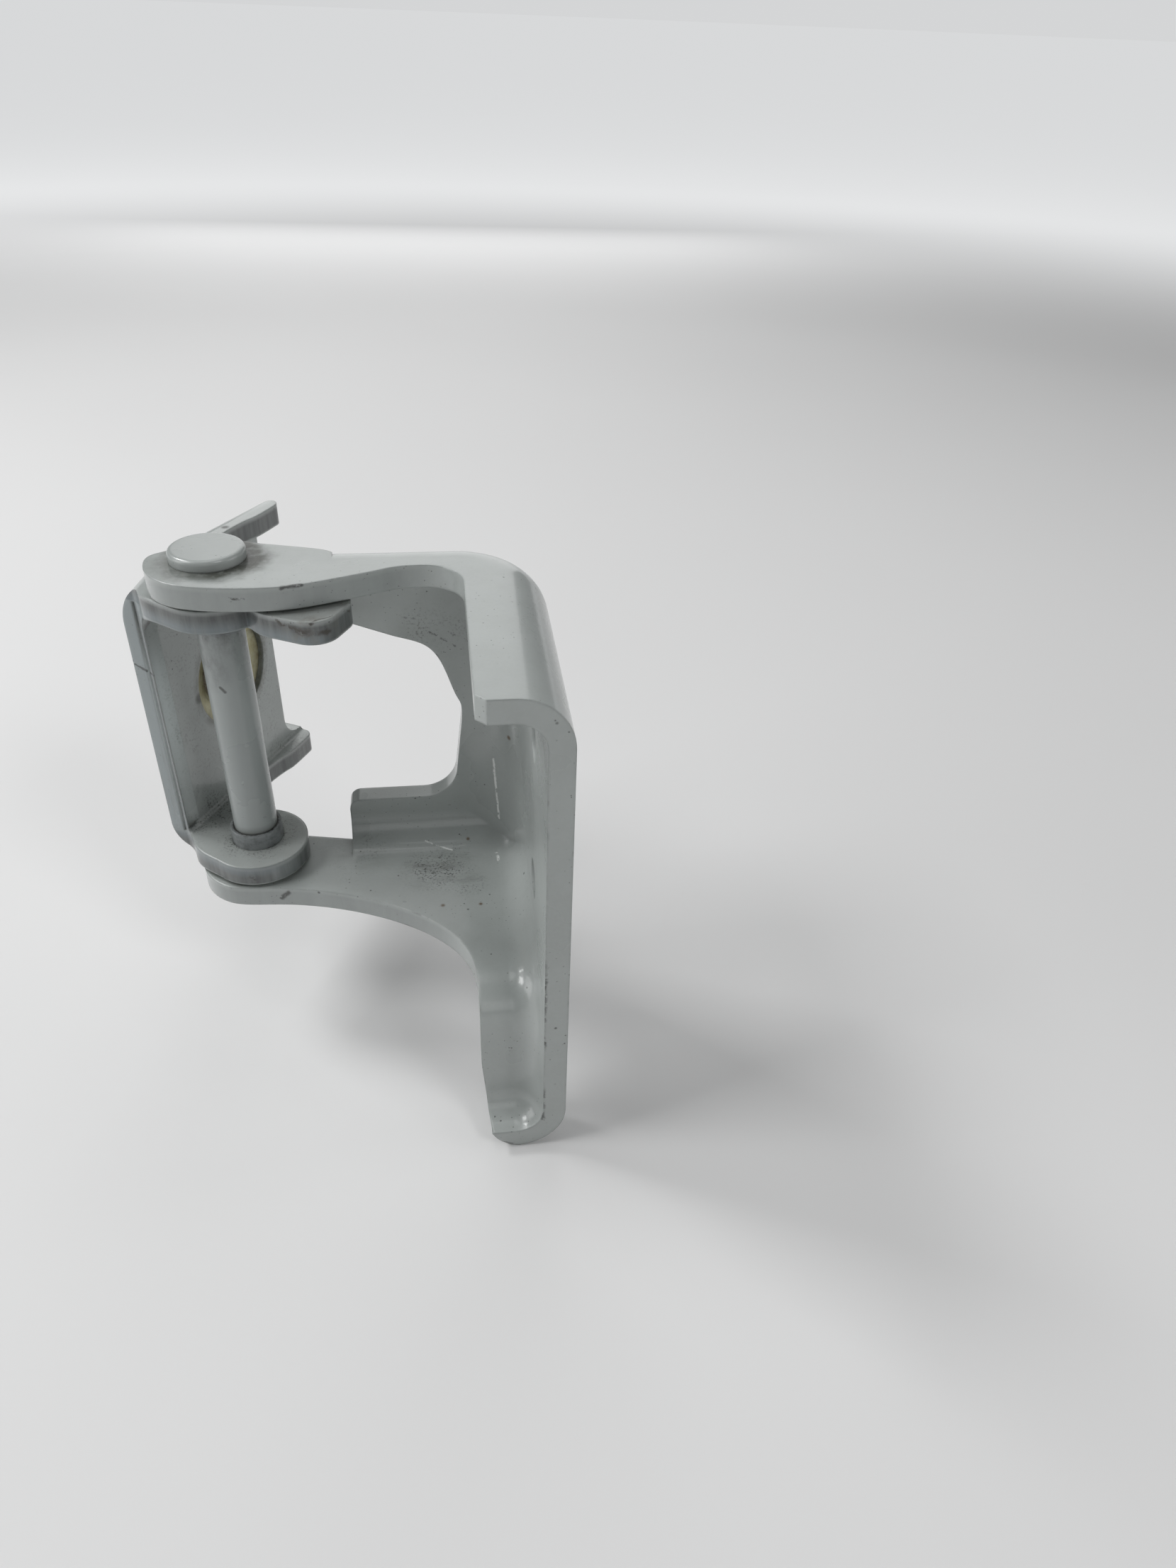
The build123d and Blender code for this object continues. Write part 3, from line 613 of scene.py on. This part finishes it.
def zinc_material():
    """Yellow passivated zinc: straw to olive, cloudy, darker and patchy near its rim."""
    m = Nodes("yellow_zinc")
    broad = m.noise(160.0, 5.0, 0.6, warp=0.6)
    fine = m.noise(1400.0, 4.0, 0.6)
    cloud = m.noise(300.0, 2.0, 0.5)
    olive, straw = (0.40, 0.37, 0.22, 1.0), (0.55, 0.53, 0.36, 1.0)
    colour = m.blend(m.ramp(broad, 0.35, 0.65), olive, straw)
    colour = m.blend(m.ramp(cloud, 0.5, 0.7, 0.0, 0.5), colour, (0.50, 0.52, 0.40, 1.0))
    colour = m.blend(m.ramp(fine, 0.5, 0.72, 0.0, 0.4), colour, (0.30, 0.24, 0.10, 1.0))
    patchy = m.ramp(m.noise(300.0, 4.0), 0.35, 0.6, 0.3, 1.0)
    rim = m.times(m.ramp(m.from_line(STUD, OFF_WEB), 0.0108, 0.0128), patchy)
    colour = m.blend(m.times(rim, 0.75), colour, (0.08, 0.065, 0.045, 1.0))
    m.link(colour, m.bsdf.inputs["Base Color"])
    m.bsdf.inputs["Metallic"].default_value = 0.30
    m.set(m.bsdf.inputs["Roughness"], m.ramp(fine, 0.3, 0.7, 0.36, 0.56))
    m.bumps([(broad, 0.3, 0.0002), (fine, 0.25, 0.00006)], rounding=0.0003)
    return m.mat


def stud_material():
    """Bare upset stud end, pinkish silver, with a coarse cold-formed face and a rolled thread."""
    m = Nodes("stud_steel")
    broad = m.noise(240.0, 5.0, 0.65, warp=0.4)
    grain = m.noise(1900.0, 4.0, 0.7)
    dull, silver = (0.42, 0.37, 0.35, 1.0), (0.60, 0.55, 0.53, 1.0)
    colour = m.blend(m.ramp(broad, 0.35, 0.65), dull, silver)
    colour = m.blend(m.ramp(grain, 0.48, 0.7, 0.0, 0.6), colour, (0.20, 0.17, 0.155, 1.0))
    stain = m.ramp(m.noise(130.0, 4.0, 0.6, at=m.moved((0.4, 0.2, 0.6))), 0.52, 0.66)
    colour = m.blend(m.times(stain, 0.5), colour, (0.24, 0.17, 0.12, 1.0))
    m.link(colour, m.bsdf.inputs["Base Color"])
    m.bsdf.inputs["Metallic"].default_value = 0.8
    m.set(m.bsdf.inputs["Roughness"], m.ramp(grain, 0.3, 0.7, 0.42, 0.66))
    # Rolled thread on the shank only: a helix from the angle round the stud and the way along it
    v = m.off(STUD)
    along = m.dot(v, OFF_WEB)
    turn = m.math("ARCTAN2", m.axes(v)[2], m.dot(v, IN_WEB))
    phase = m.plus(m.times(along, 1.0 / THREAD_PITCH), m.times(turn, 0.5 / math.pi))
    thread = m.times(m.math("PINGPONG", phase, 0.5), 2.0, m.ramp(along, 0.0225, 0.0232))
    m.bumps([(thread, 1.0, 0.0008), (broad, 0.35, 0.0003), (grain, 0.5, 0.00012)], rounding=0.0003)
    return m.mat


def dress(node, material):
    """One material on every slot of a piece."""
    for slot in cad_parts[node].material_slots:
        slot.material = material


BODY_ZONES = (ARM_EDGE_SHADE, pin_ring, step_marks, tray_glints, body_cracks, tail_chips)
DOOR_ZONES = (EAR_EDGE_SHADE, near_strip, hook_scab, leaf_dirt_and_shade, ring_seam)
dress("body_leaf", painted("body_paint", BODY_ZONES))
dress("door_leaf", painted("door_paint", DOOR_ZONES))
dress("hinge_pin", pin_material())
bush = bush_material()
dress("upper_bush", bush)
dress("lower_bush", bush)
dress("stud_ring", zinc_material())
dress("door_stud", stud_material())


PALE = (0.98, 0.99, 1.0, 1.0)
GLOW = 0.66


def stage(name, points, quads, material):
    """A mesh of the studio, not of the part."""
    mesh = bpy.data.meshes.new(name)
    mesh.from_pydata(points, [], quads)
    mesh.materials.append(material)
    obj = bpy.data.objects.new(name, mesh)
    bpy.context.scene.collection.objects.link(obj)
    return obj


def floor():
    m = Nodes("floor_white")
    soft = m.ramp(m.noise(3.0, 2.0), 0.3, 0.7)
    colour = m.blend(soft, (0.76, 0.76, 0.76, 1.0), (0.78, 0.78, 0.78, 1.0))
    m.link(colour, m.bsdf.inputs["Base Color"])
    m.bsdf.inputs["Roughness"].default_value = 0.9
    # The lamps stand within a metre or so. Past them the floor stays pale by a glow of its own.
    m.bsdf.inputs["Emission Color"].default_value = PALE
    glow = m.ramp(m.from_line((0, 0, 0)), 0.8, 1.6, 0.0, GLOW, smooth=True)
    m.set(m.bsdf.inputs["Emission Strength"], glow)
    m.mat.cycles.emission_sampling = "NONE"
    half = 30.0
    z = cad_bounds[0][2] - 0.0003
    points = [(-half, -half, z), (half, -half, z), (half, half, z), (-half, half, z)]
    stage("studio_floor", points, [(0, 1, 2, 3)], m.mat)


def backdrop():
    """A pale wall far round the floor. It is only looked at: no light comes from it."""
    m = Nodes("backdrop_white")
    m.bsdf.inputs["Base Color"].default_value = (0.0, 0.0, 0.0, 1.0)
    m.bsdf.inputs["Emission Color"].default_value = PALE
    m.bsdf.inputs["Emission Strength"].default_value = GLOW
    m.mat.cycles.emission_sampling = "NONE"
    radius, height, steps = 29.0, 25.0, 48
    z = cad_bounds[0][2] - 0.01
    turns = [2 * math.pi * i / steps for i in range(steps)]
    ring = [(radius * math.cos(t), radius * math.sin(t)) for t in turns]
    points = [(x, y, z) for x, y in ring] + [(x, y, z + height) for x, y in ring]
    quads = [(i, (i + 1) % steps, steps + (i + 1) % steps, steps + i) for i in range(steps)]
    wall = stage("studio_backdrop", points, quads, m.mat)
    wall.visible_diffuse = False
    wall.visible_glossy = False
    wall.visible_shadow = False


def camera():
    """The photograph's viewpoint: pitch, roll and yaw in degrees, lens and frame in its pixels."""
    pitch, roll, yaw = (math.radians(a) for a in (35.6, 2.3, -8.8))
    focal_length, frame_height, sensor = 1533.0, 2212.0, 36.0
    turn = Matrix.Rotation(yaw, 3, "Z")
    forward = turn @ Vector((0, math.cos(pitch), -math.sin(pitch)))
    level_right = Vector((1, 0, 0))
    level_up = Vector((0, math.sin(pitch), math.cos(pitch)))
    right = turn @ (level_right * math.cos(roll) + level_up * math.sin(roll))
    up = turn @ (level_up * math.cos(roll) - level_right * math.sin(roll))
    data = bpy.data.cameras.new("camera")
    data.sensor_width = sensor
    data.lens = focal_length / frame_height * sensor
    data.clip_start = 0.01
    data.clip_end = 60.0
    cam = bpy.data.objects.new("camera", data)
    place = Matrix((right, up, -forward)).transposed().to_4x4()
    place.translation = Vector((-0.0218, -0.1816, 0.1384))
    cam.matrix_world = place
    bpy.context.scene.collection.objects.link(cam)
    bpy.context.scene.camera = cam


# Name, place and side in metres, and watts of each soft lamp. All look at the part's middle.
MIDDLE = Vector((-0.035, 0.01, 0.0))
LAMPS = (
    ("key", (-0.7, 0.45, 0.85), 0.3, 5.0),
    ("overhead", (-0.1, 0.1, 1.2), 0.5, 1.4),
    ("back_low", (0.0, 1.1, 0.35), 0.7, 1.6),
    ("back_high", (0.1, 0.7, 1.0), 0.6, 1.4),
    ("left_high", (-0.8, -0.1, 0.9), 0.35, 3.6),
    ("left_low", (-1.1, -0.1, 0.35), 0.6, 2.8),
    ("front_low", (0.0, -1.1, 0.4), 0.5, 0.7),
    ("front_right", (0.6, -0.7, 0.85), 0.35, 2.6),
    ("right_low", (1.1, -0.1, 0.3), 0.6, 2.2),
)


def lights():
    for name, place, side, watts in LAMPS:
        data = bpy.data.lights.new(name, "AREA")
        data.shape = "SQUARE"
        data.size = side
        data.energy = watts
        lamp = bpy.data.objects.new(name, data)
        lamp.location = place
        lamp.rotation_euler = (MIDDLE - Vector(place)).to_track_quat("-Z", "Y").to_euler()
        bpy.context.scene.collection.objects.link(lamp)
    world = bpy.data.worlds.new("studio")
    world.use_nodes = True
    back = world.node_tree.nodes["Background"]
    back.inputs["Color"].default_value = (0.94, 0.98, 1.0, 1.0)
    back.inputs["Strength"].default_value = 0.05
    bpy.context.scene.world = world
    bpy.context.scene.view_settings.view_transform = "Standard"


floor()
backdrop()
camera()
lights()
